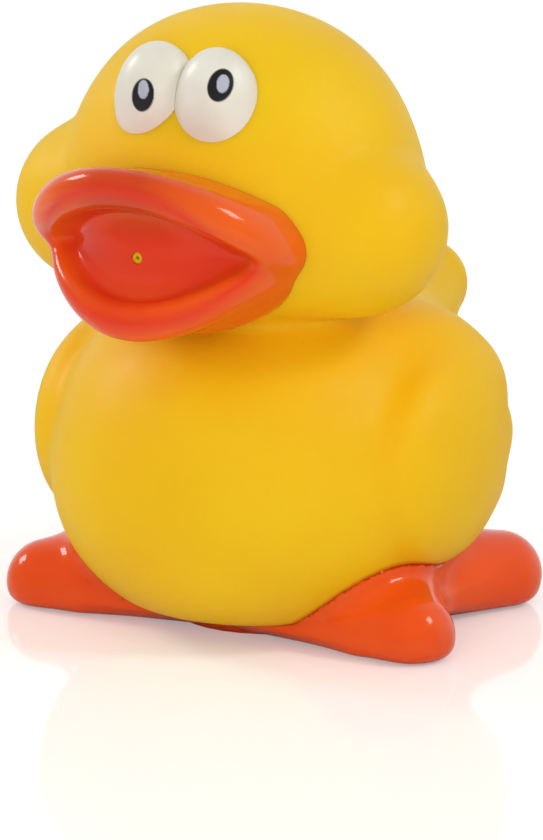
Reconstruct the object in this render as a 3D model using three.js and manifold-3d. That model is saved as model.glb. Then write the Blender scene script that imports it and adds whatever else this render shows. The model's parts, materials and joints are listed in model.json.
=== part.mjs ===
// Floating chlorine dispenser in the shape of a duck.
// Millimetres, +Z up. The duck faces -Y and its left side is +X. The floor is z = 0.
import * as THREE from "three";
import { mergeVertices } from "three/addons/utils/BufferGeometryUtils.js";
import Module from "manifold-3d";

const wasm = await Module();
wasm.setup();

// ---------------------------------------------------------------- driving dimensions

// The middle of the whole length lies this far behind the middle of the head and body.
const LENGTH_MIDDLE_Y = 5.865;
const WALL = 2.2;
// Clearance between neighbouring pieces.
const GAP = 0.3;
// Height of the flat underside of the float.
const FLOAT_BOTTOM_Z = 4;

// Ellipsoids that make up the soft float: centre and half sizes.
const BELLY = { at: [0, -3, 28], half: [42.5, 44.5, 31] };
const CHEST = { at: [0, 1, 42], half: [41.5, 44.5, 32] };
const TAIL = { from: [0, 20, 42], fromRadius: 27, to: [0, 64.9, 57.2], toRadius: 9.8 };
const TAIL_CENTRE = [0, 44, 49];
const CROWN = { at: [0, -11, 101], half: [34.6, 29.6, 28.2] };
const JAW = { at: [0, -12, 87], half: [38, 33, 22.3] };
const CHEEK = { at: [31.5, -17, 87], half: [16.3, 17.4, 16.8] };
const SHOULDER = { at: [30, 8, 50], half: [15.2, 17.6, 16] };
const WING = { at: [41, -0.5, 37.3], half: [9, 22, 20.5] };
const FEATHERS = [
  { at: [37.8, 13.5, 48.6], half: [7.5, 9.5, 8.8] },
  { at: [38.6, 16.6, 39.6], half: [7, 9, 7.6] },
  { at: [37.8, 13.6, 29.4], half: [6.6, 8.6, 6.9] },
];
const EYE = { at: [6.9, -33.4, 112.2], half: [9.1, 8, 12.4] };
// Widths of the fillets between the ellipsoids.
const BODY_FILLET = 12;
const SHOULDER_FILLET = 6;
const WING_FILLET = 5.5;
const FEATHER_FILLET = 3.5;
const SKULL_FILLET = 14;
const CHEEK_FILLET = { top: 3, topZ: 104, bottom: 9, bottomZ: 88 };
const NECK_FILLET = 7;
const BOTTOM_EDGE = 2.5;
// A point deep inside the neck, from which every point of the float's skin can be seen.
const NECK_CENTRE = [0, -5, 72];

// Bill: a muzzle with a hollow mouth, and two lips that are rounded plates bent sideways.
// A lip's middle height falls or rises with x squared, and its rim gets thicker with x squared.
const MUZZLE = { at: [0, -34.5, 83.5], half: [25.5, 20.5, 16.8] };
const MOUTH = { at: [0, -62.9, 86], half: [26, 9.2, 14], sweep: 0.03, bend: 0.006 };
const UPPER_LIP = {
  centreY: -41, halfX: 23, halfY: 17.8, tipY: -57, tipZ: 99.3,
  bend: -0.0112, slope: 0.2, rim: 4.2, rimGrowth: 0.0022,
};
const LOWER_LIP = {
  centreY: -34, halfX: 23.6, halfY: 22, tipY: -55, tipZ: 72.3,
  bend: 0.0178, slope: 0.05, rim: 4, rimGrowth: 0,
};
// The float's nozzle ends inside a hole in the bill, and has the vent bored through it.
const VENT = { z: 84.7, radius: 0.45, frontY: -60, backY: -30 };
const NOZZLE = { radius: 0.9, holeRadius: 1.25, tipY: -53.2, rootY: -44 };
// A block that is larger than one half of the face.
const HALF_FACE = { x: 20, frontY: -60, backY: 0, lowZ: 90, highZ: 130 };

// Foot base: tapered toes that end in round lobes, and a sole plate that widens upwards.
const TOES = [
  { from: [26, 0, 7.4], fromRadius: 10.8, to: [43.4, -18, 4.5], toRadius: 9 },
  { from: [8, -10, 2.5], fromRadius: 7.5, to: [33, -17.8, 4.5], toRadius: 8.5 },
  { from: [26, 6, 9], fromRadius: 11, to: [38.3, 28.3, 6.2], toRadius: 9.1 },
];
const TOE_FILLET = 6;
const SOLE = { centreY: 0.6, halfX: 27, halfY: 19.4, corner: 4, flare: 0.1, topZ: 3.4 };
const FOOT_BASE = { centre: [0, 4, 3], reach: 70, edge: 3 };

// The dispenser's own axis is vertical, through the middle of the belly.
const AXIS_Y = 0;
const WELL_RADIUS = 16.8;
// A flat seat for the clamp ring, round the opening inside the float.
const CLAMP_SEAT = { radius: 25.2, topZ: 9.6 };
const SPIGOT = { radius: 20, topZ: 10 };
const FLOAT_OPENING = { radius: 20.5, topZ: 8 };
const GASKET = { inner: 17.1, outer: 19.9, bottomZ: 10.3, topZ: 11.3 };
const CUP = {
  inner: 13.6, outer: 15.4, bottomZ: 10, topZ: 42, roof: 1.6,
  flangeRadius: 20, flangeZ: 11.6, flangeTopZ: 13.1, shoulder: 2,
};
const CLAMP = {
  flangeRadius: 24.6, flangeZ: 6.5, flangeTopZ: 9.3,
  inner: 20.6, outer: 22.5, lipInner: 16.4, lipZ: 13.4, topZ: 15,
};
const BALLAST = { inner: 22.9, outer: 28.8, bottomZ: 9.6, topZ: 13.6 };
const SCREW = {
  circle: 22.6, count: 4, shaftRadius: 1.1, holeRadius: 1.4, tipZ: 9, tipLength: 1,
  headRadius: 2, headZ: 0.5, headTopZ: 1.6, pocketRadius: 2.3, pocketZ: 1.9,
  slotWidth: 0.7, slotDepth: 0.6,
};

// Screw lid with a quick three-start thread.
const THREAD = {
  starts: 3, lead: 24, ribAngle: 40, ribHeight: 1.4, tipRadius: 17.6, startZ: 2.6, runOutZ: -3,
  stepAngle: 9, root: 0.5, stopAngle: 2,
};
const LID = { radius: 16.5, skirtInner: 13.4, bottomZ: 1, topZ: 7.9, plateZ: 5, plateTopZ: 7 };
const LID_SLOT = { width: 3, depth: 1.4, halfLength: 20 };
const ORING = { centreRadius: 14.9, radius: 0.75, z: 8.95 };
const DIAL = {
  radius: 12.9, bottomZ: 2.7, topZ: 4.7,
  gripZ: 1.3, gripLength: 22, gripWidth: 3.4, gripRoot: 0.5, hubRadius: 3.2,
};
const INLET = { count: 4, angle: 48, middleRadius: 9.4, width: 3 };
const RIVET = {
  radius: 1.5, holeRadius: 1.8, footRadius: 2.8, footZ: 1.5, footTopZ: 2.4,
  headRadius: 3.4, headZ: 8, headTopZ: 9, headEdge: 0.8,
};
const WASHER = { inner: 1.8, outer: 3.6, bottomZ: 7.3, topZ: 7.7 };

// Sides of the turned pieces, and of the small ones.
const ROUND = 30;
const SMALL_ROUND = 20;
const SCREW_ROUND = 14;
const HOLE_ROUND = 12;
// How far a cutter reaches past what it cuts.
const PAST = 1;
const DEGREE = Math.PI / 180;

// ---------------------------------------------------------------- distance fields

// Smooth minimum and maximum: joins or cuts two distance fields with a fillet of width k.
function blendMin(a, b, k) {
  const h = Math.max(k - Math.abs(a - b), 0) / k;
  return Math.min(a, b) - (h * h * k) / 4;
}

function blendMax(a, b, k) {
  return -blendMin(-a, -b, k);
}

// Distance to an ellipse or ellipsoid, from scaled offsets.
function scaledDistance(offsets, half) {
  const near = Math.hypot(...offsets.map((d, i) => d / half[i]));
  const slope = Math.hypot(...offsets.map((d, i) => d / half[i] ** 2));
  return slope < 1e-9 ? -Math.min(...half) : (near * (near - 1)) / slope;
}

function ellipsoid(p, { at, half }) {
  return scaledDistance([p[0] - at[0], p[1] - at[1], p[2] - at[2]], half);
}

// The same point on the duck's left side.
function mirrored(p) {
  return [Math.abs(p[0]), p[1], p[2]];
}

function taperedRod(p, { from, fromRadius, to, toRadius }) {
  const along = to.map((v, i) => v - from[i]);
  const offset = p.map((v, i) => v - from[i]);
  const length2 = along.reduce((s, v) => s + v * v, 0);
  const t = THREE.MathUtils.clamp(along.reduce((s, v, i) => s + v * offset[i], 0) / length2, 0, 1);
  return Math.hypot(...offset.map((v, i) => v - t * along[i])) - (fromRadius + t * (toRadius - fromRadius));
}

function headField(p) {
  const skull = blendMin(ellipsoid(p, CROWN), ellipsoid(p, JAW), SKULL_FILLET);
  const z = THREE.MathUtils.clamp(p[2], CHEEK_FILLET.bottomZ, CHEEK_FILLET.topZ);
  const fillet = THREE.MathUtils.mapLinear(
    z, CHEEK_FILLET.bottomZ, CHEEK_FILLET.topZ, CHEEK_FILLET.bottom, CHEEK_FILLET.top);
  return blendMin(skull, ellipsoid(mirrored(p), CHEEK), fillet);
}

function wingField(p) {
  const side = mirrored(p);
  const feathers = Math.min(...FEATHERS.map((feather) => ellipsoid(side, feather)));
  return blendMin(ellipsoid(side, WING), feathers, FEATHER_FILLET);
}

function floatField(p) {
  let d = blendMin(ellipsoid(p, BELLY), ellipsoid(p, CHEST), BODY_FILLET);
  d = blendMin(d, ellipsoid(mirrored(p), SHOULDER), SHOULDER_FILLET);
  d = blendMin(d, wingField(p), WING_FILLET);
  d = blendMin(d, headField(p), NECK_FILLET);
  return blendMax(d, FLOAT_BOTTOM_Z - p[2], BOTTOM_EDGE);
}

function mouthField(p) {
  const [x, y, z] = p;
  const bend = z > MOUTH.at[2] ? MOUTH.bend : -MOUTH.bend;
  return ellipsoid([x, y - MOUTH.sweep * x * x, z + bend * x * x], MOUTH);
}

// A plate with a rounded rectangular outline, which grows with height.
function soleField(p) {
  const [x, y, z] = p;
  const grown = 1 + SOLE.flare * THREE.MathUtils.clamp(z, 0, SOLE.topZ);
  const across = Math.abs(x / (SOLE.halfX * grown)) ** SOLE.corner;
  const along = Math.abs((y - SOLE.centreY) / (SOLE.halfY * grown)) ** SOLE.corner;
  const outline = (Math.pow(across + along, 1 / SOLE.corner) - 1) * SOLE.halfY;
  return Math.max(outline, z - SOLE.topZ);
}

function footField(p) {
  const side = mirrored(p);
  const toes = TOES.map((toe) => taperedRod(side, toe)).reduce((all, toe) => blendMin(all, toe, TOE_FILLET));
  const whole = blendMin(toes, soleField(p), TOE_FILLET);
  return blendMax(whole, -p[2], FOOT_BASE.edge);
}

// ---------------------------------------------------------------- solids

// A closed geometry as a solid, with its shared vertices merged and its faces pointing out.
function toSolid(geometry) {
  geometry.deleteAttribute("normal");
  geometry.deleteAttribute("uv");
  const merged = mergeVertices(geometry, 1e-4);
  const position = merged.attributes.position.array;
  const index = merged.index.array;
  const corner = [0, 1, 2].map(() => new THREE.Vector3());
  const triangles = [];
  let volume = 0;
  for (let i = 0; i < index.length; i += 3) {
    const [a, b, c] = [index[i], index[i + 1], index[i + 2]];
    if (a === b || b === c || c === a) continue;
    triangles.push([a, b, c]);
    corner.forEach((v, k) => v.fromArray(position, triangles.at(-1)[k] * 3));
    volume += corner[0].dot(corner[1].clone().cross(corner[2]));
  }
  const outward = volume > 0 ? triangles : triangles.map(([a, b, c]) => [a, c, b]);
  return new wasm.Manifold(new wasm.Mesh({
    numProp: 3,
    vertProperties: new Float32Array(position),
    triVerts: new Uint32Array(outward.flat()),
  }));
}

function toGeometry(solid) {
  const { vertProperties, triVerts } = solid.getMesh();
  const geometry = new THREE.BufferGeometry();
  geometry.setAttribute("position", new THREE.BufferAttribute(vertProperties, 3));
  geometry.setIndex(new THREE.BufferAttribute(triVerts, 1));
  return geometry;
}

// A ball whose vertices are moved along their own direction, onto the surface where the field is zero.
function sculpt(centre, ball, reach, field) {
  ball.deleteAttribute("normal");
  ball.deleteAttribute("uv");
  const geometry = mergeVertices(ball, 1e-4);
  const position = geometry.attributes.position;
  const direction = new THREE.Vector3();
  const at = (r) => [centre[0] + direction.x * r, centre[1] + direction.y * r, centre[2] + direction.z * r];
  for (let i = 0; i < position.count; i++) {
    direction.fromBufferAttribute(position, i).normalize();
    let inside = 0;
    let outside = reach;
    // Walk in from outside to the first point in the solid, then halve the interval.
    for (let r = reach; r > 0; r -= 1) {
      if (field(at(r)) < 0) {
        inside = r;
        break;
      }
      outside = r;
    }
    for (let step = 0; step < 24; step++) {
      const middle = (inside + outside) / 2;
      if (field(at(middle)) < 0) inside = middle;
      else outside = middle;
    }
    position.setXYZ(i, ...at(inside));
  }
  return toSolid(geometry);
}

// A ball with its poles on the vertical axis.
function uprightBall(around, upward) {
  return new THREE.SphereGeometry(1, around, upward).rotateX(Math.PI / 2);
}

// A solid of revolution about the dispenser's axis. The profile is a list of [radius, z].
function turned(profile, segments = ROUND) {
  const points = profile.map(([radius, z]) => new THREE.Vector2(radius, z));
  const geometry = new THREE.LatheGeometry(points, segments);
  geometry.rotateX(Math.PI / 2);
  geometry.translate(0, AXIS_Y, 0);
  return toSolid(geometry);
}

function turnedDisc(radius, bottomZ, topZ, segments = ROUND) {
  return turned([[0, bottomZ], [radius, bottomZ], [radius, topZ], [0, topZ]], segments);
}

function turnedRing(inner, outer, bottomZ, topZ, segments = ROUND) {
  const profile = [[inner, bottomZ], [outer, bottomZ], [outer, topZ], [inner, topZ], [inner, bottomZ]];
  return turned(profile, segments);
}

function boxBetween(low, high) {
  const size = high.map((v, i) => v - low[i]);
  const geometry = new THREE.BoxGeometry(...size);
  geometry.translate(...low.map((v, i) => v + size[i] / 2));
  return toSolid(geometry);
}

// A solid moved from the dispenser's axis to a place on a circle round it.
function onCircle(solid, radius, angle) {
  return solid.translate([radius * Math.cos(angle), radius * Math.sin(angle), 0]);
}

function screwAngle(i) {
  return (i + 0.5) * ((2 * Math.PI) / SCREW.count);
}

function screwHoles(radius, bottomZ, topZ) {
  return Array.from({ length: SCREW.count }, (_, i) =>
    onCircle(turnedDisc(radius, bottomZ, topZ, HOLE_ROUND), SCREW.circle, screwAngle(i)));
}

function subtractAll(solid, cutters) {
  return cutters.reduce((rest, cutter) => rest.subtract(cutter), solid);
}

function addAll(solid, others) {
  return others.reduce((whole, other) => whole.add(other), solid);
}

// A bar bent along the thread's helix, from one angle to another, in degrees from its start.
function threadBar(start, fromAngle, toAngle, innerRadius, outerRadius, height) {
  const span = (toAngle - fromAngle) * DEGREE;
  const steps = Math.ceil((toAngle - fromAngle) / THREAD.stepAngle);
  const geometry = new THREE.BoxGeometry(span, outerRadius - innerRadius, height, steps, 1, 1);
  const position = geometry.attributes.position;
  for (let i = 0; i < position.count; i++) {
    const turn = fromAngle * DEGREE + span / 2 + position.getX(i);
    const radius = (innerRadius + outerRadius) / 2 + position.getY(i);
    const z = THREAD.startZ + (THREAD.lead * turn) / (2 * Math.PI) + position.getZ(i);
    const angle = start + turn;
    position.setXYZ(i, radius * Math.cos(angle), AXIS_Y + radius * Math.sin(angle), z);
  }
  return toSolid(geometry);
}

function threadStarts() {
  return Array.from({ length: THREAD.starts }, (_, i) => (i * 2 * Math.PI) / THREAD.starts);
}

// Slots along arcs, through a plate between two heights.
function inletCutters(bottomZ, topZ) {
  return Array.from({ length: INLET.count }, (_, i) => {
    const half = (INLET.angle * DEGREE) / 2;
    const middle = ((i + 0.5) * 2 * Math.PI) / INLET.count;
    const outer = INLET.middleRadius + INLET.width / 2;
    const inner = INLET.middleRadius - INLET.width / 2;
    const shape = new THREE.Shape();
    shape.absarc(0, 0, outer, middle - half, middle + half, false);
    shape.absarc(0, 0, inner, middle + half, middle - half, true);
    shape.closePath();
    const straightUp = { depth: topZ - bottomZ, bevelEnabled: false, curveSegments: 5 };
    const geometry = new THREE.ExtrudeGeometry(shape, straightUp);
    geometry.translate(0, AXIS_Y, bottomZ);
    return toSolid(geometry);
  });
}

// ---------------------------------------------------------------- the float and what is on it

function floatOuter(clearance) {
  return sculpt(NECK_CENTRE, uprightBall(48, 40), 110, (p) => floatField(p) - clearance);
}

const floatClearance = floatOuter(GAP);

function tail(clearance) {
  const ball = new THREE.SphereGeometry(1, 20, 14);
  return sculpt(TAIL_CENTRE, ball, 60, (p) => taperedRod(p, TAIL) - clearance);
}

// A rod along Y at the height of the vent.
function ventRod(radius, frontY, backY) {
  const geometry = new THREE.CylinderGeometry(radius, radius, backY - frontY, HOLE_ROUND);
  geometry.translate(0, (frontY + backY) / 2, VENT.z);
  return toSolid(geometry);
}

function duckShell() {
  const nozzle = ventRod(NOZZLE.radius, NOZZLE.tipY, NOZZLE.rootY);
  const outer = addAll(floatOuter(0), [tail(0), nozzle]);
  const inner = sculpt(NECK_CENTRE, uprightBall(32, 26), 110, (p) => floatField(p) + WALL).add(tail(-WALL));
  return subtractAll(outer.subtract(inner), [
    turnedDisc(CLAMP_SEAT.radius, FLOAT_BOTTOM_Z + WALL, CLAMP_SEAT.topZ),
    turnedDisc(FLOAT_OPENING.radius, 0, FLOAT_OPENING.topZ),
    ventRod(VENT.radius, VENT.frontY, VENT.backY),
    ...screwHoles(SCREW.holeRadius, 0, FLOAT_OPENING.topZ),
  ]);
}

// A plate with a round rim, turned as a disc and then stretched to the lip's plan and bent.
function lipPlate(lip) {
  const rimSteps = 7;
  const rim = Array.from({ length: rimSteps + 1 }, (_, i) => {
    const t = (i / rimSteps - 0.5) * Math.PI;
    return new THREE.Vector2(1 + Math.cos(t), Math.sin(t));
  });
  const flat = [0.7, 0.35];
  const profile = [
    new THREE.Vector2(0, -1), ...flat.toReversed().map((u) => new THREE.Vector2(u, -1)), ...rim,
    ...flat.map((u) => new THREE.Vector2(u, 1)), new THREE.Vector2(0, 1),
  ];
  const geometry = new THREE.LatheGeometry(profile, 40);
  const position = geometry.attributes.position;
  for (let i = 0; i < position.count; i++) {
    const side = position.getX(i);
    const ahead = position.getZ(i);
    const u = Math.hypot(side, ahead);
    const [c, s] = u > 0 ? [side / u, ahead / u] : [1, 0];
    const inPlan = Math.min(u, 1);
    const normal = new THREE.Vector2(c / lip.halfX, s / lip.halfY).normalize();
    const edgeX = inPlan * lip.halfX * c;
    const thickness = lip.rim + lip.rimGrowth * edgeX * edgeX;
    const x = edgeX + (u - inPlan) * thickness * normal.x;
    const y = lip.centreY + inPlan * lip.halfY * s + (u - inPlan) * thickness * normal.y;
    const middle = lip.tipZ + lip.bend * x * x - lip.slope * (y - lip.tipY);
    position.setXYZ(i, x, y, middle + thickness * position.getY(i));
  }
  return toSolid(geometry);
}

function beak() {
  const muzzle = sculpt(MUZZLE.at, uprightBall(32, 20), 40, (p) => ellipsoid(p, MUZZLE));
  const mouth = sculpt(MOUTH.at, uprightBall(32, 16), 60, mouthField);
  return muzzle
    .subtract(mouth)
    .add(lipPlate(LOWER_LIP))
    .add(lipPlate(UPPER_LIP))
    .subtract(floatClearance)
    .subtract(ventRod(NOZZLE.holeRadius, VENT.frontY, VENT.backY));
}

// side is 1 for the duck's left eye and -1 for its right eye.
function eye(side) {
  const geometry = new THREE.IcosahedronGeometry(1, 5);
  geometry.scale(...EYE.half);
  geometry.translate(side * EYE.at[0], EYE.at[1], EYE.at[2]);
  const [lowX, highX] = side > 0 ? [-HALF_FACE.x, GAP / 2] : [-GAP / 2, HALF_FACE.x];
  const otherHalf = boxBetween(
    [lowX, HALF_FACE.frontY, HALF_FACE.lowZ],
    [highX, HALF_FACE.backY, HALF_FACE.highZ],
  );
  return toSolid(geometry).subtract(floatClearance).subtract(otherHalf);
}

// ---------------------------------------------------------------- the base and the dispenser

function footBase() {
  const ball = uprightBall(88, 22).scale(1, 1, 0.3);
  const fromAngle = ((THREAD.runOutZ - THREAD.startZ) / THREAD.lead) * 360;
  const toAngle = THREAD.ribAngle + THREAD.stopAngle;
  const grooves = threadStarts().map((start) =>
    threadBar(start, fromAngle, toAngle,
      WELL_RADIUS - THREAD.root, THREAD.tipRadius + GAP, THREAD.ribHeight + 2 * GAP));
  const outside = sculpt(FOOT_BASE.centre, ball, FOOT_BASE.reach, footField)
    .subtract(floatClearance)
    .add(turnedDisc(SPIGOT.radius, 0, SPIGOT.topZ));
  return subtractAll(outside, [
    turnedDisc(WELL_RADIUS, -PAST, SPIGOT.topZ + PAST),
    ...grooves,
    ...screwHoles(SCREW.holeRadius, -PAST, FLOAT_BOTTOM_Z + PAST),
    ...screwHoles(SCREW.pocketRadius, -PAST, SCREW.pocketZ),
  ]);
}

function tabletCup() {
  return turned([
    [CUP.inner, CUP.bottomZ], [CUP.outer, CUP.bottomZ], [CUP.outer, CUP.flangeZ],
    [CUP.flangeRadius, CUP.flangeZ], [CUP.flangeRadius, CUP.flangeTopZ], [CUP.outer, CUP.flangeTopZ],
    [CUP.outer, CUP.topZ - CUP.shoulder], [CUP.outer - CUP.shoulder, CUP.topZ], [0, CUP.topZ],
    [0, CUP.topZ - CUP.roof], [CUP.inner - CUP.shoulder / 2, CUP.topZ - CUP.roof],
    [CUP.inner, CUP.topZ - CUP.roof - CUP.shoulder / 2],
    [CUP.inner, CUP.bottomZ],
  ]);
}

function dialWasher() {
  return turnedRing(WASHER.inner, WASHER.outer, WASHER.bottomZ, WASHER.topZ, SMALL_ROUND);
}

function clampRing() {
  const ring = turned([
    [CLAMP.inner, CLAMP.flangeZ], [CLAMP.flangeRadius, CLAMP.flangeZ],
    [CLAMP.flangeRadius, CLAMP.flangeTopZ], [CLAMP.outer, CLAMP.flangeTopZ],
    [CLAMP.outer, CLAMP.topZ], [CLAMP.lipInner, CLAMP.topZ],
    [CLAMP.lipInner, CLAMP.lipZ], [CLAMP.inner, CLAMP.lipZ], [CLAMP.inner, CLAMP.flangeZ],
  ]);
  return subtractAll(ring, screwHoles(SCREW.holeRadius, CLAMP.flangeZ - PAST, CLAMP.flangeTopZ + PAST));
}

function clampScrew(i) {
  const screw = turned([
    [0, SCREW.headZ], [SCREW.headRadius, SCREW.headZ], [SCREW.headRadius, SCREW.headTopZ],
    [SCREW.shaftRadius, SCREW.headTopZ], [SCREW.shaftRadius, SCREW.tipZ - SCREW.tipLength], [0, SCREW.tipZ],
  ], SCREW_ROUND);
  const half = SCREW.slotWidth / 2;
  const reach = SCREW.headRadius + PAST;
  const top = SCREW.headZ + SCREW.slotDepth;
  const slot = boxBetween([-reach, AXIS_Y - half, -PAST], [reach, AXIS_Y + half, top]);
  return onCircle(screw.subtract(slot), SCREW.circle, screwAngle(i));
}

function lid() {
  const blank = turned([
    [RIVET.holeRadius, LID.plateZ], [LID.skirtInner, LID.plateZ], [LID.skirtInner, LID.bottomZ],
    [LID.radius, LID.bottomZ], [LID.radius, LID.topZ], [LID.skirtInner, LID.topZ],
    [LID.skirtInner, LID.plateTopZ], [RIVET.holeRadius, LID.plateTopZ], [RIVET.holeRadius, LID.plateZ],
  ]);
  const ribs = threadStarts().map((start) =>
    threadBar(start, 0, THREAD.ribAngle, LID.radius - THREAD.root, THREAD.tipRadius, THREAD.ribHeight));
  const half = LID_SLOT.width / 2;
  const toolSlot = boxBetween(
    [-LID_SLOT.halfLength, AXIS_Y - half, LID.bottomZ - PAST],
    [LID_SLOT.halfLength, AXIS_Y + half, LID.bottomZ + LID_SLOT.depth],
  );
  const inlets = inletCutters(LID.plateZ - PAST, LID.plateTopZ + PAST);
  return subtractAll(addAll(blank, ribs), [toolSlot, ...inlets]);
}

function lidOring() {
  const sides = 6;
  const profile = Array.from({ length: sides + 1 }, (_, i) => {
    const t = ((i % sides) * 2 * Math.PI) / sides;
    return [ORING.centreRadius + ORING.radius * Math.cos(t), ORING.z + ORING.radius * Math.sin(t)];
  });
  return turned(profile);
}

function flowDial() {
  const disc = turnedRing(RIVET.holeRadius, DIAL.radius, DIAL.bottomZ, DIAL.topZ);
  const halfLength = DIAL.gripLength / 2;
  const halfWidth = DIAL.gripWidth / 2;
  const grip = boxBetween(
    [-halfLength, AXIS_Y - halfWidth, DIAL.gripZ],
    [halfLength, AXIS_Y + halfWidth, DIAL.bottomZ + DIAL.gripRoot],
  ).subtract(turnedDisc(DIAL.hubRadius, 0, DIAL.bottomZ));
  return subtractAll(disc.add(grip.subtract(turnedDisc(RIVET.holeRadius, 0, DIAL.topZ))),
    inletCutters(0, DIAL.topZ + PAST));
}

function dialRivet() {
  return turned([
    [0, RIVET.footZ], [RIVET.footRadius, RIVET.footZ], [RIVET.footRadius, RIVET.footTopZ],
    [RIVET.radius, RIVET.footTopZ], [RIVET.radius, RIVET.headZ], [RIVET.headRadius, RIVET.headZ],
    [RIVET.headRadius - RIVET.headEdge, RIVET.headTopZ], [0, RIVET.headTopZ],
  ], SMALL_ROUND);
}

// ---------------------------------------------------------------- scene graph

function finish(color, roughness, metalness = 0) {
  return new THREE.MeshStandardMaterial({ color, roughness, metalness });
}

const yellowVinyl = finish(0xf7b01c, 0.5);
const orangeGloss = finish(0xe2532a, 0.22);
const eyeWhite = finish(0xf2ede0, 0.3);
const whitePlastic = finish(0xe9ebe8, 0.45);
const greyPlastic = finish(0x8f989c, 0.45);
const blackRubber = finish(0x1c1d1e, 0.8);
const stainless = finish(0xb9bcc0, 0.3, 1);

const duck = new THREE.Group();
duck.position.y = -LENGTH_MIDDLE_Y;

function place(name, solid, material) {
  const mesh = new THREE.Mesh(toGeometry(solid), material);
  mesh.name = name;
  duck.add(mesh);
}

place("duck_shell", duckShell(), yellowVinyl);
place("beak", beak(), orangeGloss);
place("left_eye", eye(1), eyeWhite);
place("right_eye", eye(-1), eyeWhite);
place("foot_base", footBase(), orangeGloss);
place("tablet_cup", tabletCup(), whitePlastic);
place("cup_gasket", turnedRing(GASKET.inner, GASKET.outer, GASKET.bottomZ, GASKET.topZ), blackRubber);
place("clamp_ring", clampRing(), whitePlastic);
place("ballast_ring", turnedRing(BALLAST.inner, BALLAST.outer, BALLAST.bottomZ, BALLAST.topZ), stainless);
for (let i = 0; i < SCREW.count; i++) place(`clamp_screw_${i + 1}`, clampScrew(i), stainless);
place("lid", lid(), orangeGloss);
place("lid_oring", lidOring(), blackRubber);
place("flow_dial", flowDial(), greyPlastic);
place("dial_rivet", dialRivet(), stainless);
place("dial_washer", dialWasher(), stainless);

export default duck;
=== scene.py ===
"""Floating chlorine dispenser in the shape of a duck: looks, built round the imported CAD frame.

The duck's own coordinates are millimetres: +Z up, facing -Y, its left side +X, the floor at 0.
to_frame() turns them into the frame's metres.
"""

import json
import math

import bmesh
import bpy
import numpy as np
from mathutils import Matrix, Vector

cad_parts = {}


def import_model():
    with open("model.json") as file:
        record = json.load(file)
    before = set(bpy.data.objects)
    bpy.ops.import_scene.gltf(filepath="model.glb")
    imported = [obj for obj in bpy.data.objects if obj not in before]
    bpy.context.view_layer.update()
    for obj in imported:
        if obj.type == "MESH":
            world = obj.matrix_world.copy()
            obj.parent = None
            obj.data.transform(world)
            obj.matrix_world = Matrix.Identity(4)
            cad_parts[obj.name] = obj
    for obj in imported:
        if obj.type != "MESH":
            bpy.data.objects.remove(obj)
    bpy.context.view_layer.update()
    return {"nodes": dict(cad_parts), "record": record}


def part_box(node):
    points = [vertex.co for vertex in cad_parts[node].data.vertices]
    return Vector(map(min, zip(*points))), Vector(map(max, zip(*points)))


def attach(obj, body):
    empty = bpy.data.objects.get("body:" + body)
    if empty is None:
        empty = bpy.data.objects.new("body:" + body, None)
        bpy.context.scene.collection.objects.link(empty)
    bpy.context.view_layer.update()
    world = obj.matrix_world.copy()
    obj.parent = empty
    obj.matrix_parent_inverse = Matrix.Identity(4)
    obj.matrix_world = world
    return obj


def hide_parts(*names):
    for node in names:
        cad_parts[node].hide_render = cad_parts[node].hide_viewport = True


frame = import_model()

# ------------------------------------------------------------------ driving dimensions, in mm

MM = 0.001
# The dispenser's axis runs through the duck's own middle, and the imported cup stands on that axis.
AXIS_Y = 0.0
CUP_LOW, CUP_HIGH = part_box("tablet_cup")
LENGTH_MIDDLE_Y = AXIS_Y - (CUP_LOW.y + CUP_HIGH.y) / 2 / MM

WALL = 2.2
FLOAT_BOTTOM_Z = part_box("duck_shell")[0].z / MM
# Room between the skin and what is moulded on to it.
SEAM = 0.04
# The round opening in the float's flat bottom, and how high its cutter reaches.
FLOAT_OPENING = {"radius": 20.5, "top_z": 9.6}

BELLY = ((0, -3, 28), (42.5, 44.5, 31))
CHEST = ((0, 1, 42), (41.5, 44.5, 32))
TAIL = ((0, 26, 43), 21, (0, 64.7, 57), 9.6)
CROWN = ((0, -11, 101), (34.6, 29.6, 28.1))
JAW = ((0, -12, 87), (38, 33, 22.3))
CHEEK = ((31.5, -17, 87), (16.3, 17.4, 16.8))
SHOULDER = ((30, 8, 50), (15.2, 17.6, 16))
WING = ((41, -0.5, 37.3), (9, 22, 20.5))
FEATHERS = [
    ((37.8, 13.5, 48.6), (7.5, 9.5, 8.8)),
    ((38.6, 16.6, 39.6), (7, 9, 7.6)),
    ((37.8, 13.6, 29.4), (6.6, 8.6, 6.9)),
]
EYE = ((6.9, -33.4, 112.2), (9.1, 8, 12.4))
# Widths of the fillets between them.
BODY_FILLET = 12
TAIL_FILLET = 14
SHOULDER_FILLET = 6
WING_FILLET = 5.5
FEATHER_FILLET = 3.5
SKULL_FILLET = 14
# The cheek's fillet is narrow above one height and widens down to another.
CHEEK_FILLET = {"top": 3, "top_z": 104, "bottom": 9, "bottom_z": 88}
NECK_FILLET = 4
BOTTOM_EDGE = 2.5

MUZZLE = ((0, -34.5, 83.5), (25.5, 20.5, 16.8))
# The hollow of the mouth is swept back and closed towards its corners by the square of x.
MOUTH = ((0, -62.9, 86.0), (26, 9.2, 14))
MOUTH_SWEEP = 0.03
MOUTH_CLOSING = 0.006
MOUTH_EDGE = 2.5
# Each lip is a bent plate: its middle's height at the tip, how that changes with x squared and
# with y, and the radius of its rim.
LOWER_LIP = {
    "centre_y": -34,
    "half": (23.6, 22),
    "tip_y": -55,
    "height": 72.3,
    "bend": 0.0178,
    "tilt": -0.05,
    "rim": 4.0,
    "rim_growth": 0,
    "fillet": 3.0,
}
UPPER_LIP = {
    "centre_y": -41,
    "half": (23, 17.6),
    "tip_y": -57,
    "height": 99.3,
    "bend": -0.0112,
    "tilt": -0.2,
    "rim": 4.2,
    "rim_growth": 0.0022,
    "fillet": 3.5,
}
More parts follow.
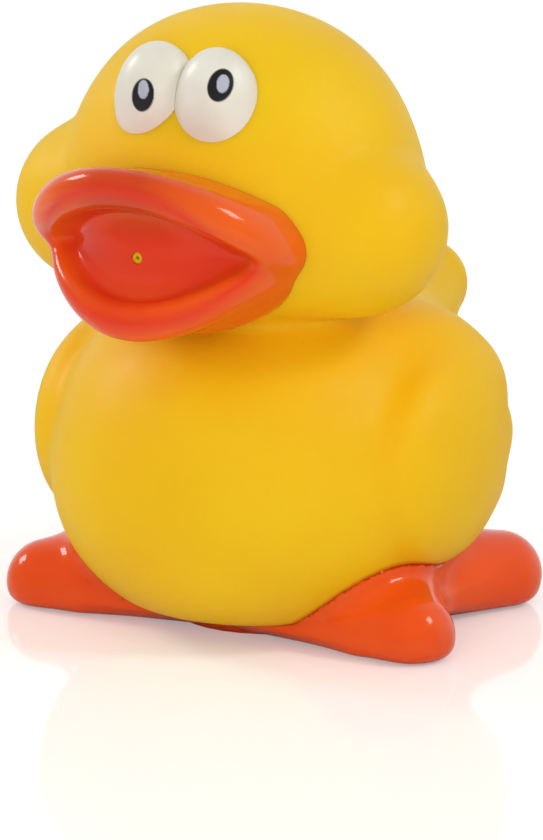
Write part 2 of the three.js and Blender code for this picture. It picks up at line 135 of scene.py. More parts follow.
# How far each field's slope is brought down towards 1, so that the fillets come out even.
SLOPES = {"mouth": 0.7, "lower": 0.75, "upper": 0.8}
# The float's nozzle ends inside a hole in the bill, and has the vent bored through it.
VENT = {"z": 84.7, "radius": 0.4, "front_y": -60, "back_y": -30}
NOZZLE = {"radius": 1.12, "hole_radius": 1.2, "tip_y": -53.2, "root_y": -44}

TOES = [
    ((26, 0, 7.4), 10.8, (43.25, -18, 4.5), 8.82),
    ((8, -10, 2.5), 7.5, (33, -17.8, 4.5), 8.5),
    ((26, 6, 9), 11, (38.3, 28.3, 6.2), 9.1),
]
TOE_FILLET = 6
FOOT_EDGE = 3.0
# The fillet with which the toes run up the belly, how far it reaches, and its height limit.
ANKLE_FILLET = 6
ANKLE_REACH = 3.2
ANKLE_TOP_Z = 19
# A sole plate with a rounded rectangular outline, which grows with height.
SOLE = {
    "centre_y": 0.6,
    "half_x": 27,
    "half_y": 19.4,
    "corner": 4,
    "flare": 0.1,
    "full_z": 3.4,
    "top_z": 5.5,
}
# The machined middle of the foot base, taken from the CAD piece as it is, and its cutter's ends.
INSERT_RADIUS = 25.3
INSERT_CUT_Z = (-5, 20)

# Spacing of the grids that the surfaces are found on, and the boxes they fill.
SKIN_STEP = 1.15
SKIN_BOX = ((-58, -58, 0), (58, 84, 134))
BEAK_STEP = 0.5
BEAK_BOX = ((-36, -68, 60), (36, -4, 112))
FOOT_STEP = 0.85
FOOT_BOX = ((-56, -34, -4), (56, 44, 24))
# In metres.
WELD_DISTANCE = 1e-7
# Keeps a division away from zero.
SMALL = 1e-9

# The angle the duck is seen from, towards a point on its axis, and how large it is there.
VIEW = {"azimuth": 30.0, "elevation": 13.7, "distance": 1400.0, "target_z": 40.4}
PIXELS_PER_MM = 4.84
IMAGE_HEIGHT = 840
# Each printed oval, as it falls on the face from VIEW: its middle, half sizes and lean.
PUPILS = {"left": (-10.54, 69.16, 2.7, 3.45, 0.15), "right": (-26.55, 67.15, 2.3, 3.45, 0.06)}
CATCHLIGHTS = {"left": (-10.05, 69.5, 1.3, 1.9, 0.1), "right": (-26.5, 68.3, 1.1, 1.95, 0.02)}
INK_EDGE = 0.06
# A block over one half of the face, used to part the eyes.
HALF_FACE = {"x": 20.0, "front_y": -60, "back_y": 0, "low_z": 90, "high_z": 130}
# How far the orange paint runs past the edge of the feet.
OVERSPRAY = 1.6
# Where the bill's colour changes: deep red near the mouth's wall, painted light on the bill's top
# by the face above the mouth, lighter towards the corners, and painted shade on the upper lip's front.
MOUTH_TINT = {"reach": 2.5, "share": 0.8}
LIT_TOP_AND_PALE_CORNERS = {"face_reach": 9, "low_z": 88, "rise": 8, "half_x": 24, "start": 0.2, "share": 0.5}
SHADED_LIP_FRONT = {"back_y": -46, "run": 8, "low_z": 86, "rise": 5, "half_x": 18, "full": 1.3, "share": 0.7}


def to_frame(points):
    """Duck millimetres to frame metres."""
    return (np.asarray(points, float) - (0, LENGTH_MIDDLE_Y, 0)) * MM


# ------------------------------------------------------------------ distance fields


def blend_min(a, b, k):
    """Smooth minimum: joins two fields with a fillet of width k."""
    h = np.maximum(k - np.abs(a - b), 0) / k
    return np.minimum(a, b) - h * h * k / 4


def blend_max(a, b, k):
    return -blend_min(-a, -b, k)


def ellipsoid(p, shape):
    at, half = np.array(shape[0], float), np.array(shape[1], float)
    d = (p - at) / half
    near = np.sqrt((d * d).sum(-1))
    slope = np.sqrt(((d / half) ** 2).sum(-1))
    return near * (near - 1) / np.maximum(slope, SMALL)


def mirrored(p):
    """The same points on the duck's left side."""
    q = p.copy()
    q[..., 0] = np.abs(q[..., 0])
    return q


def tapered_rod(p, rod):
    start, start_radius, end, end_radius = rod
    start, end = np.array(start, float), np.array(end, float)
    along = end - start
    t = np.clip(((p - start) @ along) / (along @ along), 0, 1)
    axis = start + t[..., None] * along
    return np.sqrt(((p - axis) ** 2).sum(-1)) - (start_radius + t * (end_radius - start_radius))


def head_field(p):
    skull = blend_min(ellipsoid(p, CROWN), ellipsoid(p, JAW), SKULL_FILLET)
    heights = (CHEEK_FILLET["bottom_z"], CHEEK_FILLET["top_z"])
    fillet = np.interp(p[..., 2], heights, (CHEEK_FILLET["bottom"], CHEEK_FILLET["top"]))
    return blend_min(skull, ellipsoid(mirrored(p), CHEEK), fillet)


def wing_field(p):
    side = mirrored(p)
    feathers = ellipsoid(side, FEATHERS[0])
    for feather in FEATHERS[1:]:
        feathers = np.minimum(feathers, ellipsoid(side, feather))
    return blend_min(ellipsoid(side, WING), feathers, FEATHER_FILLET)


def float_field(p):
    d = blend_min(ellipsoid(p, BELLY), ellipsoid(p, CHEST), BODY_FILLET)
    d = blend_min(d, tapered_rod(p, TAIL), TAIL_FILLET)
    d = blend_min(d, ellipsoid(mirrored(p), SHOULDER), SHOULDER_FILLET)
    d = blend_min(d, wing_field(p), WING_FILLET)
    d = blend_min(d, head_field(p), NECK_FILLET)
    return blend_max(d, FLOAT_BOTTOM_Z - p[..., 2], BOTTOM_EDGE)


def lip_field(p, lip):
    """A bent plate with a round rim and an elliptical plan."""
    x, y = p[..., 0], p[..., 1] - lip["centre_y"]
    half = lip["half"]
    near = np.hypot(x / half[0], y / half[1])
    slope = np.hypot(x / half[0] ** 2, y / half[1] ** 2)
    outside = np.maximum(near * (near - 1) / np.maximum(slope, SMALL), 0)
    bend = lip["bend"] * x**2
    middle = lip["height"] + bend + lip["tilt"] * (p[..., 1] - lip["tip_y"])
    return np.hypot(outside, p[..., 2] - middle) - (lip["rim"] + lip["rim_growth"] * x**2)


def mouth_field(p):
    """The hollow of the mouth: an ellipsoid swept back and closed towards its corners."""
    x2 = p[..., 0] ** 2
    q = p.copy()
    q[..., 1] -= MOUTH_SWEEP * x2
    q[..., 2] += np.where(p[..., 2] > MOUTH[0][2], MOUTH_CLOSING, -MOUTH_CLOSING) * x2
    return ellipsoid(q, MOUTH)


def beak_field(p):
    mouth = SLOPES["mouth"] * mouth_field(p)
    lower = SLOPES["lower"] * lip_field(p, LOWER_LIP)
    upper = SLOPES["upper"] * lip_field(p, UPPER_LIP)
    d = blend_max(ellipsoid(p, MUZZLE), -mouth, MOUTH_EDGE)
    d = blend_min(d, lower, LOWER_LIP["fillet"])
    return blend_min(d, upper, UPPER_LIP["fillet"])


def sole_field(p):
    grown = 1 + SOLE["flare"] * np.clip(p[..., 2], 0, SOLE["full_z"])
    across = np.abs(p[..., 0] / (SOLE["half_x"] * grown)) ** SOLE["corner"]
    along = np.abs((p[..., 1] - SOLE["centre_y"]) / (SOLE["half_y"] * grown)) ** SOLE["corner"]
    outline = ((across + along) ** (1 / SOLE["corner"]) - 1) * SOLE["half_y"]
    return np.maximum(outline, p[..., 2] - SOLE["top_z"])


def toe_field(p):
    side = mirrored(p)
    d = tapered_rod(side, TOES[0])
    for toe in TOES[1:]:
        d = blend_min(d, tapered_rod(side, toe), TOE_FILLET)
    return d


def foot_field(p):
    toes = toe_field(p)
    ankles = np.maximum(blend_min(toes, float_field(p), ANKLE_FILLET), toes - ANKLE_REACH)
    whole = np.minimum(ankles, blend_min(toes, sole_field(p), TOE_FILLET))
    return blend_max(np.maximum(whole, p[..., 2] - ANKLE_TOP_Z), -p[..., 2], FOOT_EDGE)


# ------------------------------------------------------------------ fields to meshes


def gradient(field, p, reach=0.02):
    steps = np.eye(3) * reach
    return np.stack([(field(p + s) - field(p - s)) / (2 * reach) for s in steps], -1)


def pull_to_surface(field, p, level, rounds=3):
    for _ in range(rounds):
        g = gradient(field, p)
        size = np.maximum((g * g).sum(-1), 0.05)
        move = (field(p) - level) / size
        p = p - np.clip(move, -1.5, 1.5)[:, None] * g
    return p


def sample(field, low, high, step, block=5):
    """The field on a grid: exact near the surface, and one value for a whole block elsewhere."""
    counts = np.ceil((np.array(high) - low) / (step * block)).astype(int)
    axes = [a + step * np.arange(n * block) for a, n in zip(low, counts)]
    middles = [a + step * (block * np.arange(n) + (block - 1) / 2) for a, n in zip(low, counts)]
    coarse = field(np.stack(np.meshgrid(*middles, indexing="ij"), -1))
    near = np.abs(coarse) < 2.2 * step * block
    for axis in range(3):
        coarse, near = np.repeat(coarse, block, axis), np.repeat(near, block, axis)
    cells = np.argwhere(near)
    coarse[near] = field(np.array(low) + step * cells)
    return coarse, axes


def surface_net(field, samples, axes, level):
    """A closed quad mesh of the surface where the field equals level: one vertex in each crossed cell."""
    f = samples - level
    inside = f < 0
    corners = np.array([(i, j, k) for i in (0, 1) for j in (0, 1) for k in (0, 1)])
    cells_shape = np.array(f.shape) - 1
    count = np.zeros(cells_shape, int)
    for corner in corners:
        count += inside[tuple(slice(o, o + n) for o, n in zip(corner, cells_shape))]
    cells = np.argwhere((count > 0) & (count < len(corners)))
    total, hits = np.zeros((len(cells), 3)), np.zeros(len(cells))
    for a in corners:
        for axis in np.flatnonzero(a == 0):
            b = a.copy()
            b[axis] = 1
            fa, fb = f[tuple((cells + a).T)], f[tuple((cells + b).T)]
            crossed = (fa < 0) != (fb < 0)
            t = np.where(crossed, fa / np.where(crossed, fa - fb, 1), 0)
            total += np.where(crossed[:, None], a + t[:, None] * (b - a), 0)
            hits += crossed
    step = axes[0][1] - axes[0][0]
    origin = np.array([axis[0] for axis in axes])
    points = origin + (cells + total / hits[:, None]) * step
    number = np.full(cells_shape, -1)
    number[tuple(cells.T)] = np.arange(len(cells))
    quads = []
    for axis in range(3):
        first, second = np.eye(3, dtype=int)[(axis + 1) % 3], np.eye(3, dtype=int)[(axis + 2) % 3]
        near = [slice(1, -1)] * 3
        far = [slice(1, -1)] * 3
        near[axis], far[axis] = slice(0, -1), slice(1, None)
        change = inside[tuple(near)] != inside[tuple(far)]
        offset = np.ones(3, int)
        offset[axis] = 0
        edges = np.argwhere(change) + offset
        ring = [edges - first - second, edges - second, edges, edges - first]
        quad = np.stack([number[tuple(c.T)] for c in ring], -1)
        leaving = inside[tuple(edges.T)]
        quads.append(np.where(leaving[:, None], quad, quad[:, ::-1]))
    quads = np.concatenate(quads)
    for _ in range(3):
        points = pull_to_surface(field, relaxed(points, quads), level)
    return points, quads


def relaxed(points, quads):
    """Each vertex moved half way to the mean of its neighbours."""
    a = quads.ravel()
    b = np.roll(quads, -1, axis=1).ravel()
    total = np.zeros_like(points)
    hits = np.zeros(len(points))
    for one, other in ((a, b), (b, a)):
        for axis in range(3):
            total[:, axis] += np.bincount(one, points[other, axis], len(points))
        hits += np.bincount(one, minlength=len(points))
    return (points + total / hits[:, None]) / 2


def mesh_object(name, points, faces):
    """A new object from duck millimetres."""
    mesh = bpy.data.meshes.new(name)
    mesh.from_pydata(to_frame(points).tolist(), [], [list(map(int, face)) for face in faces])
    obj = bpy.data.objects.new(name, mesh)
    bpy.context.scene.collection.objects.link(obj)
    return obj


def drum(name, radius, low_z, high_z, centre=(0, AXIS_Y), sides=96):
    """An upright cylinder, as a cutter."""
    turn = np.linspace(0, 2 * math.pi, sides, endpoint=False)
    ring = np.stack([centre[0] + radius * np.cos(turn), centre[1] + radius * np.sin(turn)], -1)
    points = [(x, y, z) for z in (low_z, high_z) for x, y in ring]
    walls = [(i, (i + 1) % sides, sides + (i + 1) % sides, sides + i) for i in range(sides)]
    ends = [tuple(range(sides))[::-1], tuple(range(sides, 2 * sides))]
    return mesh_object(name, points, walls + ends)


def vent_rod(name, radius, from_y, to_y, sides=48):
    """A rod along Y at the height of the vent."""
    turn = np.linspace(0, 2 * math.pi, sides, endpoint=False)
    ring = np.stack([radius * np.cos(turn), VENT["z"] + radius * np.sin(turn)], -1)
    points = [(x, y, z) for y in (from_y, to_y) for x, z in ring]
    walls = [(i, sides + i, sides + (i + 1) % sides, (i + 1) % sides) for i in range(sides)]
    ends = [tuple(range(sides)), tuple(range(sides, 2 * sides))[::-1]]
    return mesh_object(name, points, walls + ends)


def boolean(obj, tool, operation, keep_tool=False):
    """Applies a boolean to obj at once."""
    modifier = obj.modifiers.new("cut", "BOOLEAN")
    modifier.operation = operation
    modifier.solver = "MANIFOLD"
    modifier.object = tool
    depsgraph = bpy.context.evaluated_depsgraph_get()
    made = bpy.data.meshes.new_from_object(obj.evaluated_get(depsgraph))
    if len(made.vertices) == len(obj.data.vertices):
        raise RuntimeError(f"{operation} of {obj.name} with {tool.name} changed nothing")
    obj.modifiers.clear()
    old = obj.data
    obj.data = made
    bpy.data.meshes.remove(old)
    if not keep_tool:
        bpy.data.objects.remove(tool)
    return obj


def smooth(obj, sharp_angle=35):
    obj.data.shade_smooth()
    obj.data.set_sharp_from_angle(angle=math.radians(sharp_angle))


def copy_of(obj, name):
    made = bpy.data.objects.new(name, obj.data.copy())
    bpy.context.scene.collection.objects.link(made)
    return made


def weld(obj):
    """Joins vertices that lie on each other."""
    work = bmesh.new()
    work.from_mesh(obj.data)
    bmesh.ops.remove_doubles(work, verts=work.verts, dist=WELD_DISTANCE)
    work.to_mesh(obj.data)
    work.free()


def net_object(name, field, samples, axes, level=0.0):
    return mesh_object(name, *surface_net(field, samples, axes, level))


# ------------------------------------------------------------------ pieces

float_samples, float_axes = sample(float_field, *SKIN_BOX, SKIN_STEP)
SKIN = net_object("skin", float_field, float_samples, float_axes)
SKIN_CUTTER = net_object("skin_cutter", float_field, float_samples, float_axes, SEAM)


def duck_skin():
    skin = copy_of(SKIN, "duck_skin")
    hollow = net_object("hollow", float_field, float_samples, float_axes, -WALL)
    boolean(skin, hollow, "DIFFERENCE")
    boolean(skin, drum("opening", FLOAT_OPENING["radius"], 0, FLOAT_OPENING["top_z"]), "DIFFERENCE")
    nozzle = vent_rod("nozzle", NOZZLE["radius"], NOZZLE["tip_y"], NOZZLE["root_y"])
    boolean(skin, nozzle, "UNION")
    vent = vent_rod("vent", VENT["radius"], VENT["front_y"], VENT["back_y"])
    return boolean(skin, vent, "DIFFERENCE")


def beak():
    samples, axes = sample(beak_field, *BEAK_BOX, BEAK_STEP)
    piece = net_object("bill", beak_field, samples, axes)
    boolean(piece, SKIN_CUTTER, "DIFFERENCE", keep_tool=True)
    hole = vent_rod("hole", NOZZLE["hole_radius"], VENT["front_y"], VENT["back_y"])
    return boolean(piece, hole, "DIFFERENCE")


def eye(side, name):
    centre, half = EYE
    bpy.ops.mesh.primitive_uv_sphere_add(segments=256, ring_count=192, radius=1)
    piece = bpy.context.object
    piece.name = name
    piece.data.name = name
    at = (side * centre[0], centre[1], centre[2])
    co = np.array([v.co for v in piece.data.vertices]) * half + at
    piece.data.vertices.foreach_set("co", to_frame(co).ravel())
    piece.data.update()
    boolean(piece, SKIN_CUTTER, "DIFFERENCE", keep_tool=True)
    return boolean(piece, middle_cutter(side), "DIFFERENCE")


def middle_cutter(side):
    """A block over the other half of the face, so that the two eyes meet at the middle."""
    low_x, high_x = sorted((side * SEAM, -side * HALF_FACE["x"]))
    front_y, back_y = HALF_FACE["front_y"], HALF_FACE["back_y"]
    outline = [(low_x, front_y), (high_x, front_y), (high_x, back_y), (low_x, back_y)]
    heights = (HALF_FACE["low_z"], HALF_FACE["high_z"])
    corners = [(x, y, z) for z in heights for x, y in outline]
    walls = [(i, (i + 1) % 4, 4 + (i + 1) % 4, 4 + i) for i in range(4)]
    ends = [(3, 2, 1, 0), (4, 5, 6, 7)]
    return mesh_object("middle_cutter", corners, walls + ends)


def foot_base():
    samples, axes = sample(foot_field, *FOOT_BOX, FOOT_STEP)
    piece = net_object("feet", foot_field, samples, axes)
    boolean(piece, SKIN_CUTTER, "DIFFERENCE", keep_tool=True)
    boolean(piece, drum("middle", INSERT_RADIUS, *INSERT_CUT_Z), "DIFFERENCE")
    insert = bpy.data.objects.new("insert", frame["nodes"]["foot_base"].data.copy())
    bpy.context.scene.collection.objects.link(insert)
    weld(insert)
    boolean(insert, drum("middle", INSERT_RADIUS, *INSERT_CUT_Z), "INTERSECT")
    return boolean(piece, insert, "UNION")


# ------------------------------------------------------------------ materials


def new_material(name):
    material = bpy.data.materials.new(name)
    material.use_nodes = True
    tree = material.node_tree
    return material, tree, tree.nodes["Principled BSDF"]


def noise(tree, scale, detail=3.0, roughness=0.5):
    where = tree.nodes.new("ShaderNodeTexCoord")
    node = tree.nodes.new("ShaderNodeTexNoise")
    node.inputs["Scale"].default_value = scale
    node.inputs["Detail"].default_value = detail
    node.inputs["Roughness"].default_value = roughness
    tree.links.new(where.outputs["Object"], node.inputs["Vector"])
    return node.outputs["Fac"]


def ramp(tree, factor, stops):
    node = tree.nodes.new("ShaderNodeValToRGB")
    tree.links.new(factor, node.inputs["Fac"])
    while len(node.color_ramp.elements) < len(stops):
        node.color_ramp.elements.new(0.5)
    for element, (position, color) in zip(node.color_ramp.elements, stops):
        element.position = position
        element.color = (*color, 1) if len(color) == 3 else color
    return node.outputs["Color"]


def mix(tree, factor, a, b):
    node = tree.nodes.new("ShaderNodeMix")
    node.data_type = "RGBA"
    for socket, value in (("Factor", factor), ("A", a), ("B", b)):
        target = [i for i in node.inputs if i.name == socket and i.enabled][0]
        if isinstance(value, bpy.types.NodeSocket):
            tree.links.new(value, target)
        else:
            target.default_value = value if socket == "Factor" else (*value, 1)
    return [o for o in node.outputs if o.enabled][0]


def blend_values(tree, factor, a, b):
    node = tree.nodes.new("ShaderNodeMix")
    tree.links.new(factor, node.inputs["Factor"])
    for socket, value in (("A", a), ("B", b)):
        if isinstance(value, bpy.types.NodeSocket):
            tree.links.new(value, node.inputs[socket])
        else:
            node.inputs[socket].default_value = value
    return node.outputs["Result"]


def bump(tree, height, strength, distance):
    node = tree.nodes.new("ShaderNodeBump")
    node.inputs["Strength"].default_value = strength
    node.inputs["Distance"].default_value = distance
    tree.links.new(height, node.inputs["Height"])
    return node.outputs["Normal"]


def attribute(tree, name):
    node = tree.nodes.new("ShaderNodeAttribute")
    node.attribute_name = name
    return node.outputs["Fac"]


def range_of(tree, value, low, high, to_low, to_high):
    node = tree.nodes.new("ShaderNodeMapRange")
    tree.links.new(value, node.inputs["Value"])
    for socket, number in zip(("From Min", "From Max", "To Min", "To Max"), (low, high, to_low, to_high)):
        node.inputs[socket].default_value = number
    return node.outputs["Result"]


def store(obj, name, values):
    data = obj.data.attributes.new(name, "FLOAT", "POINT")
    data.data.foreach_set("value", np.asarray(values, np.float32))


def duck_points(obj):
    """A mesh's vertices in duck millimetres."""
    co = np.empty(len(obj.data.vertices) * 3)
    obj.data.vertices.foreach_get("co", co)
    return co.reshape(-1, 3) / MM + (0, LENGTH_MIDDLE_Y, 0)


YELLOW = (0.97, 0.535, 0.007)
DEEP_YELLOW = (0.96, 0.485, 0.005)
ORANGE = (0.74, 0.066, 0.006)
LIGHT_ORANGE = (0.86, 0.100, 0.007)
# Painted light for the bill's lit top by the face; also makes the corners lighter.
LIT_TOP_PALE_ORANGE = (0.86, 0.17, 0.012)
# Painted shade for the upper lip's front.
PAINTED_SHADE_ORANGE = (0.50, 0.045, 0.012)
DEEP_RED = (0.72, 0.030, 0.010)


def yellow_vinyl():
    material, tree, shader = new_material("yellow_vinyl")
    cloud = ramp(tree, noise(tree, 28, 2), [(0.3, DEEP_YELLOW), (0.7, YELLOW)])
    overspray = attribute(tree, "overspray")
    tree.links.new(mix(tree, overspray, cloud, ORANGE), shader.inputs["Base Color"])
    rough = range_of(tree, noise(tree, 160, 4), 0.3, 0.7, 0.42, 0.52)
    tree.links.new(rough, shader.inputs["Roughness"])
    tree.links.new(bump(tree, noise(tree, 900, 3), 0.12, 0.0002), shader.inputs["Normal"])
    shader.inputs["Subsurface Weight"].default_value = 0.55
    shader.inputs["Subsurface Radius"].default_value = (1.0, 0.6, 0.08)
    shader.inputs["Subsurface Scale"].default_value = 0.007
    shader.inputs["Specular IOR Level"].default_value = 0.18
    return material


def orange_gloss():
    material, tree, shader = new_material("orange_gloss")
    cloud = ramp(tree, noise(tree, 40, 3), [(0.3, ORANGE), (0.75, LIGHT_ORANGE)])
    inner = attribute(tree, "mouth")
    # Painted shade darkens the upper lip's front; painted light brightens the bill's top by the face, and
    # the corners are lighter.
    painted_shade_lip_front = mix(tree, attribute(tree, "painted_shade_lip_front"), cloud, PAINTED_SHADE_ORANGE)
    painted = mix(tree, attribute(tree, "lit_top_pale_corners"), painted_shade_lip_front, LIT_TOP_PALE_ORANGE)
    tree.links.new(mix(tree, inner, painted, DEEP_RED), shader.inputs["Base Color"])
    rough = range_of(tree, noise(tree, 220, 4), 0.3, 0.7, 0.16, 0.26)
    tree.links.new(rough, shader.inputs["Roughness"])
    tree.links.new(bump(tree, noise(tree, 700, 3), 0.06, 0.0002), shader.inputs["Normal"])
    shader.inputs["Subsurface Weight"].default_value = 0.3
    shader.inputs["Subsurface Radius"].default_value = (1.0, 0.25, 0.08)
    shader.inputs["Subsurface Scale"].default_value = 0.003
    shader.inputs["Specular IOR Level"].default_value = 0.1
    shader.inputs["Coat Weight"].default_value = 0.42
    shader.inputs["Coat Roughness"].default_value = 0.05
    return material


def eye_paint():
    material, tree, shader = new_material("eye_white")
    white = ramp(tree, noise(tree, 120, 3), [(0.3, (0.72, 0.69, 0.58)), (0.7, (0.78, 0.75, 0.65))])
    grey = ramp(tree, noise(tree, 400, 2), [(0.3, (0.40, 0.42, 0.50)), (0.7, (0.46, 0.48, 0.56))])
    ink = mix(tree, attribute(tree, "catchlight"), (0.010, 0.009, 0.010), grey)
    tree.links.new(mix(tree, attribute(tree, "pupil"), white, ink), shader.inputs["Base Color"])
    rough = range_of(tree, noise(tree, 200, 4), 0.3, 0.7, 0.30, 0.38)
    tree.links.new(rough, shader.inputs["Roughness"])
    tree.links.new(bump(tree, noise(tree, 900, 2), 0.05, 0.0001), shader.inputs["Normal"])
    return material


def moulded(name, light, dark, roughness):
    """A moulded plastic or rubber with a fine grain."""
    material, tree, shader = new_material(name)
    cloud = ramp(tree, noise(tree, 60, 4), [(0.3, dark), (0.7, light)])
    tree.links.new(cloud, shader.inputs["Base Color"])
    rough = range_of(tree, noise(tree, 300, 4), 0.3, 0.7, roughness - 0.07, roughness + 0.07)
    tree.links.new(rough, shader.inputs["Roughness"])
    tree.links.new(bump(tree, noise(tree, 1500, 3), 0.15, 0.0002), shader.inputs["Normal"])
    return material


def stainless():
    material, tree, shader = new_material("stainless")
    cloud = ramp(tree, noise(tree, 80, 4), [(0.3, (0.50, 0.50, 0.51)), (0.7, (0.66, 0.66, 0.66))])
    tree.links.new(cloud, shader.inputs["Base Color"])
    rough = range_of(tree, noise(tree, 500, 4), 0.3, 0.7, 0.22, 0.38)
    tree.links.new(rough, shader.inputs["Roughness"])
    shader.inputs["Metallic"].default_value = 1.0
    return material


MATERIALS = {
    "yellow_vinyl": yellow_vinyl(),
    "orange_gloss": orange_gloss(),
    "eye_white": eye_paint(),
    "white_plastic": moulded("white_plastic", (0.80, 0.82, 0.80), (0.70, 0.72, 0.71), 0.45),
    "grey_plastic": moulded("grey_plastic", (0.33, 0.36, 0.38), (0.25, 0.28, 0.30), 0.45),
    "black_rubber": moulded("black_rubber", (0.028, 0.028, 0.028), (0.015, 0.015, 0.015), 0.7),
    "stainless": stainless(),
}


def dress(obj, slot):
    obj.data.materials.clear()
    obj.data.materials.append(MATERIALS[slot])


def settle(obj, body, node, slot):
    """Rides a new piece on its body, in place of its CAD node."""
    dress(obj, slot)
    smooth(obj)
    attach(obj, body)
    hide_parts(node)


def share(values):
    return np.clip(values, 0, 1)


def paint_skin(skin):
    p = duck_points(skin)
    past_foot = np.minimum(toe_field(p) - ANKLE_REACH, sole_field(p))
    store(skin, "overspray", share(1 - past_foot / OVERSPRAY) ** 2)


def paint_bill(bill):
    p = duck_points(bill)
    from_middle, y, z = np.abs(p[:, 0]), p[:, 1], p[:, 2]
    near_mouth = share(1 - np.abs(mouth_field(p)) / MOUTH_TINT["reach"])
    store(bill, "mouth", near_mouth * MOUTH_TINT["share"])
    # Painted light on the bill's top by the face, above the mouth; the corners are made lighter as well.
    near_face = share(1 - float_field(p) / LIT_TOP_AND_PALE_CORNERS["face_reach"])
    above_mouth = share((z - LIT_TOP_AND_PALE_CORNERS["low_z"]) / LIT_TOP_AND_PALE_CORNERS["rise"])
    near_corners = share(from_middle / LIT_TOP_AND_PALE_CORNERS["half_x"] - LIT_TOP_AND_PALE_CORNERS["start"])
    store(bill, "lit_top_pale_corners", np.maximum(near_face * above_mouth, LIT_TOP_AND_PALE_CORNERS["share"] * near_corners))
    # Painted shade on the middle of the upper lip's front.
    in_front = share((SHADED_LIP_FRONT["back_y"] - y) / SHADED_LIP_FRONT["run"])
    upper = share((z - SHADED_LIP_FRONT["low_z"]) / SHADED_LIP_FRONT["rise"])
    middle = share(SHADED_LIP_FRONT["full"] - from_middle / SHADED_LIP_FRONT["half_x"])
    store(bill, "painted_shade_lip_front", in_front * upper * middle * SHADED_LIP_FRONT["share"])


skin = duck_skin()
paint_skin(skin)
settle(skin, "float", "duck_shell", "yellow_vinyl")

bill = beak()
paint_bill(bill)
settle(bill, "float", "beak", "orange_gloss")


def seen_from_view(p):
    """Where a point falls on the plane through the target, across the view."""
    a, e = math.radians(VIEW["azimuth"]), math.radians(VIEW["elevation"])
    toward = p[:, 0] * math.sin(a) - p[:, 1] * math.cos(a)
    height = p[:, 2] - VIEW["target_z"]
    near = VIEW["distance"] - toward * math.cos(e) - height * math.sin(e)
    scale = VIEW["distance"] / near
    across = p[:, 0] * math.cos(a) + p[:, 1] * math.sin(a)
    return scale * across, scale * (height * math.cos(e) - toward * math.sin(e))


def oval(p, spec):
    """1 inside a printed oval, 0 outside, with a narrow soft edge."""
    middle_u, middle_v, half_u, half_v, lean = spec
    u, v = seen_from_view(p)
    near = np.hypot((u - middle_u - lean * (v - middle_v)) / half_u, (v - middle_v) / half_v)
    return np.clip((1 - near) / INK_EDGE + 0.5, 0, 1) * (p[:, 1] < EYE[0][1])


for side, label in ((1, "left"), (-1, "right")):
    piece = eye(side, f"{label}_eyeball")
    p = duck_points(piece)
    store(piece, "pupil", oval(p, PUPILS[label]))
    store(piece, "catchlight", oval(p, CATCHLIGHTS[label]))
    settle(piece, "float", f"{label}_eye", "eye_white")

feet = foot_base()
settle(feet, "float", "foot_base", "orange_gloss")
# The flat sole's large faces set the shading along its edge.
flat_sole = feet.modifiers.new("flat_sole", "WEIGHTED_NORMAL")
flat_sole.keep_sharp = True

for cutter in (SKIN, SKIN_CUTTER):
    bpy.data.objects.remove(cutter)

SLOTS = {part["node"]: part["material_slot"] for part in frame["record"]["subparts"]}
for node, obj in frame["nodes"].items():
    if not obj.hide_render:
        dress(obj, SLOTS[node])

# ------------------------------------------------------------------ studio

SENSOR = 36.0
FLOOR_HALF_SIZE = 1.5
# How much the floor is brightened where the camera sees it.
FLOOR_GLOW = 0.27
# How bright the white surroundings are as light, and as what is mirrored from the front.
AMBIENT = 0.62
MIRRORED_FRONT = 0.28


def camera():
    data = bpy.data.cameras.new("camera")
    data.sensor_width = SENSOR
    data.lens = PIXELS_PER_MM * VIEW["distance"] / IMAGE_HEIGHT * SENSOR
    data.clip_end = 10
    obj = bpy.data.objects.new("camera", data)
    bpy.context.scene.collection.objects.link(obj)
    a, e = math.radians(VIEW["azimuth"]), math.radians(VIEW["elevation"])
    back = Vector((math.sin(a) * math.cos(e), -math.cos(a) * math.cos(e), math.sin(e)))
    obj.location = Vector(to_frame((0, 0, VIEW["target_z"]))) + back * VIEW["distance"] * MM
    obj.rotation_euler = (-back).to_track_quat("-Z", "Y").to_euler()
    bpy.context.scene.camera = obj


def softbox(name, location, size, power, mirrored_in_gloss=True, target=(0, 0, 0.06)):
    data = bpy.data.lights.new(name, "AREA")
    data.shape = "RECTANGLE"
    data.size, data.size_y = size
    data.energy = power
    obj = bpy.data.objects.new(name, data)
    obj.visible_glossy = mirrored_in_gloss
    bpy.context.scene.collection.objects.link(obj)
    obj.location = location
    obj.rotation_euler = (Vector(target) - Vector(location)).to_track_quat("-Z", "Y").to_euler()


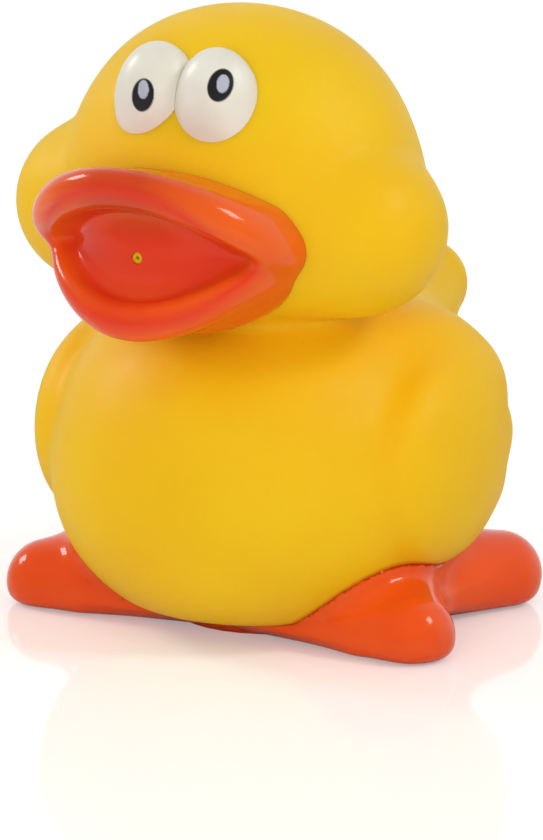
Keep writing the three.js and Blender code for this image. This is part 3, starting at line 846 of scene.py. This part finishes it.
def floor():
    mesh = bpy.data.meshes.new("floor")
    near, far = -FLOOR_HALF_SIZE, FLOOR_HALF_SIZE
    corners = [(near, near, 0), (far, near, 0), (far, far, 0), (near, far, 0)]
    mesh.from_pydata(corners, [], [(0, 1, 2, 3)])
    obj = bpy.data.objects.new("floor", mesh)
    bpy.context.scene.collection.objects.link(obj)
    material, tree, shader = new_material("floor")
    shader.inputs["Base Color"].default_value = (0.82, 0.82, 0.82, 1)
    shader.inputs["Roughness"].default_value = 0.08
    shader.inputs["IOR"].default_value = 1.3
    glow = tree.nodes.new("ShaderNodeEmission")
    path = tree.nodes.new("ShaderNodeLightPath")
    total = tree.nodes.new("ShaderNodeAddShader")
    seen = range_of(tree, path.outputs["Is Camera Ray"], 0, 1, 0, FLOOR_GLOW)
    tree.links.new(seen, glow.inputs["Strength"])
    tree.links.new(shader.outputs[0], total.inputs[0])
    tree.links.new(glow.outputs[0], total.inputs[1])
    tree.links.new(total.outputs[0], tree.nodes["Material Output"].inputs["Surface"])
    mesh.materials.append(material)


def world():
    """White where it is seen, and dimmer where it lights the object."""
    made = bpy.data.worlds.new("world")
    bpy.context.scene.world = made
    made.use_nodes = True
    tree = made.node_tree
    background = tree.nodes["Background"]
    background.inputs["Color"].default_value = (1, 1, 1, 1)
    path = tree.nodes.new("ShaderNodeLightPath")
    where = tree.nodes.new("ShaderNodeTexCoord")
    parts = tree.nodes.new("ShaderNodeSeparateXYZ")
    tree.links.new(where.outputs["Generated"], parts.inputs["Vector"])
    mirrored_light = range_of(tree, parts.outputs["Y"], -0.1, 0.6, MIRRORED_FRONT, 1)
    lit = blend_values(tree, path.outputs["Is Glossy Ray"], AMBIENT, mirrored_light)
    seen = blend_values(tree, path.outputs["Is Camera Ray"], lit, 1)
    tree.links.new(seen, background.inputs["Strength"])


camera()
floor()
world()
softbox("left", (-1.31, -0.09, 0.78), (0.4, 0.4), 5.5)
softbox("right", (1.11, 0.13, 1.05), (0.35, 0.35), 5)
softbox("front", (0.5, -1.5, 0.35), (1.0, 0.8), 10, mirrored_in_gloss=False)
bpy.context.scene.view_settings.view_transform = "Standard"
